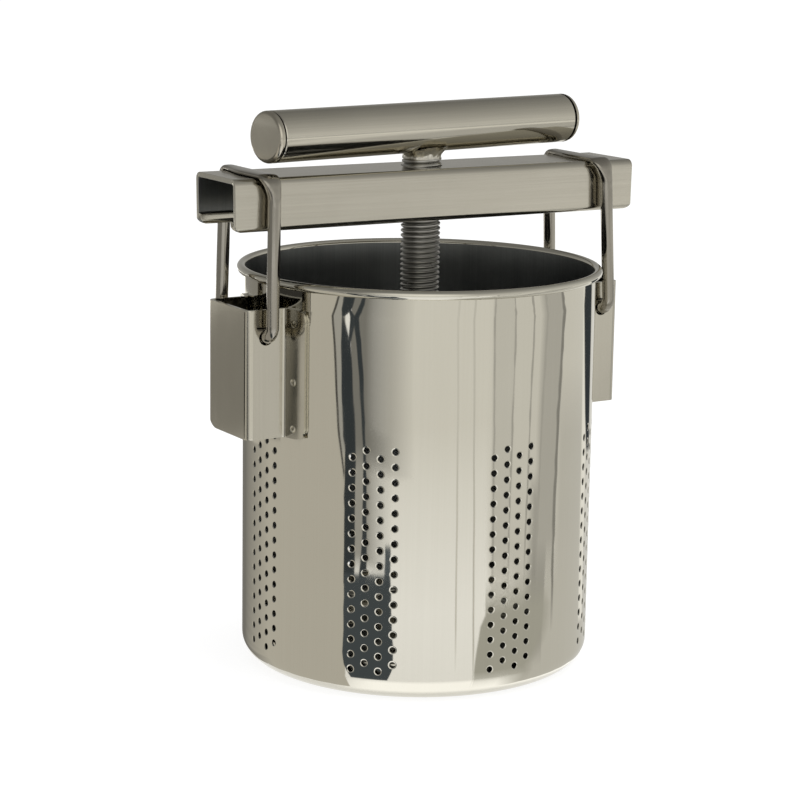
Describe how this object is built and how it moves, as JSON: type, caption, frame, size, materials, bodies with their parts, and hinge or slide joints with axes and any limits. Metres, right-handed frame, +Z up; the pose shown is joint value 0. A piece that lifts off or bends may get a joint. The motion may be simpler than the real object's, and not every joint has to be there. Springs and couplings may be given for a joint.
{
  "type": "vegetable press",
  "caption": "Stainless screw press: perforated bucket, channel beam held by two swinging bails, and a T-handled screw that drives a plate down the bucket.",
  "frame": {"origin": "centre of the bucket's base, on the floor", "axes": "+Z up along the screw, +X along the beam towards the right bail, -Y to the front"},
  "size_m": [0.1842, 0.147, 0.2266],
  "materials": {
    "polished_steel": "polished, mirror bright",
    "brushed_sheet": "brushed along the sheet",
    "bright_rod": "drawn, bright",
    "screw_steel": "rolled thread, dull",
    "dark_steel": "plain machined",
    "weld_steel": "bright bead, lumpy",
    "satin_tube": "satin polished"
  },
  "bodies": {
    "frame": {"bucket": "polished_steel", "bracket_left": "brushed_sheet", "bracket_right": "brushed_sheet", "beam": "brushed_sheet", "beam_nut": "dark_steel", "nut_welds": "weld_steel"},
    "plate": {"press_plate": "polished_steel", "plate_hub": "brushed_sheet", "hub_weld": "weld_steel", "retaining_pins": "dark_steel", "thrust_washer": "dark_steel"},
    "screw": {"screw": "screw_steel", "handle_weld": "weld_steel", "handle_tube": "satin_tube", "handle_cap_left": "satin_tube", "handle_cap_right": "satin_tube"},
    "left_bail": {"bail_left": "bright_rod"},
    "right_bail": {"bail_right": "bright_rod"}
  },
  "joints": [
    {"name": "press_travel", "type": "slide", "parent": "frame", "child": "plate", "axis": [0, 0, 1], "range_m": [0, 0.156]},
    {"name": "screw_turn", "type": "hinge", "parent": "plate", "child": "screw", "pos_m": [0, 0, 0.1], "axis": [0, 0, 1], "range_deg": [0, 28080]},
    {"name": "bail_left_swing", "type": "hinge", "parent": "frame", "child": "left_bail", "pos_m": [-0.0787, 0, 0.1406], "axis": [0, -1, 0], "range_deg": [0, 170]},
    {"name": "bail_right_swing", "type": "hinge", "parent": "frame", "child": "right_bail", "pos_m": [0.0787, 0, 0.1406], "axis": [0, 1, 0], "range_deg": [0, 170]}
  ],
  "couplings": [
    {"joint": "press_travel", "follows": "screw_turn", "m_per_rad": 0.00031831}
  ]
}
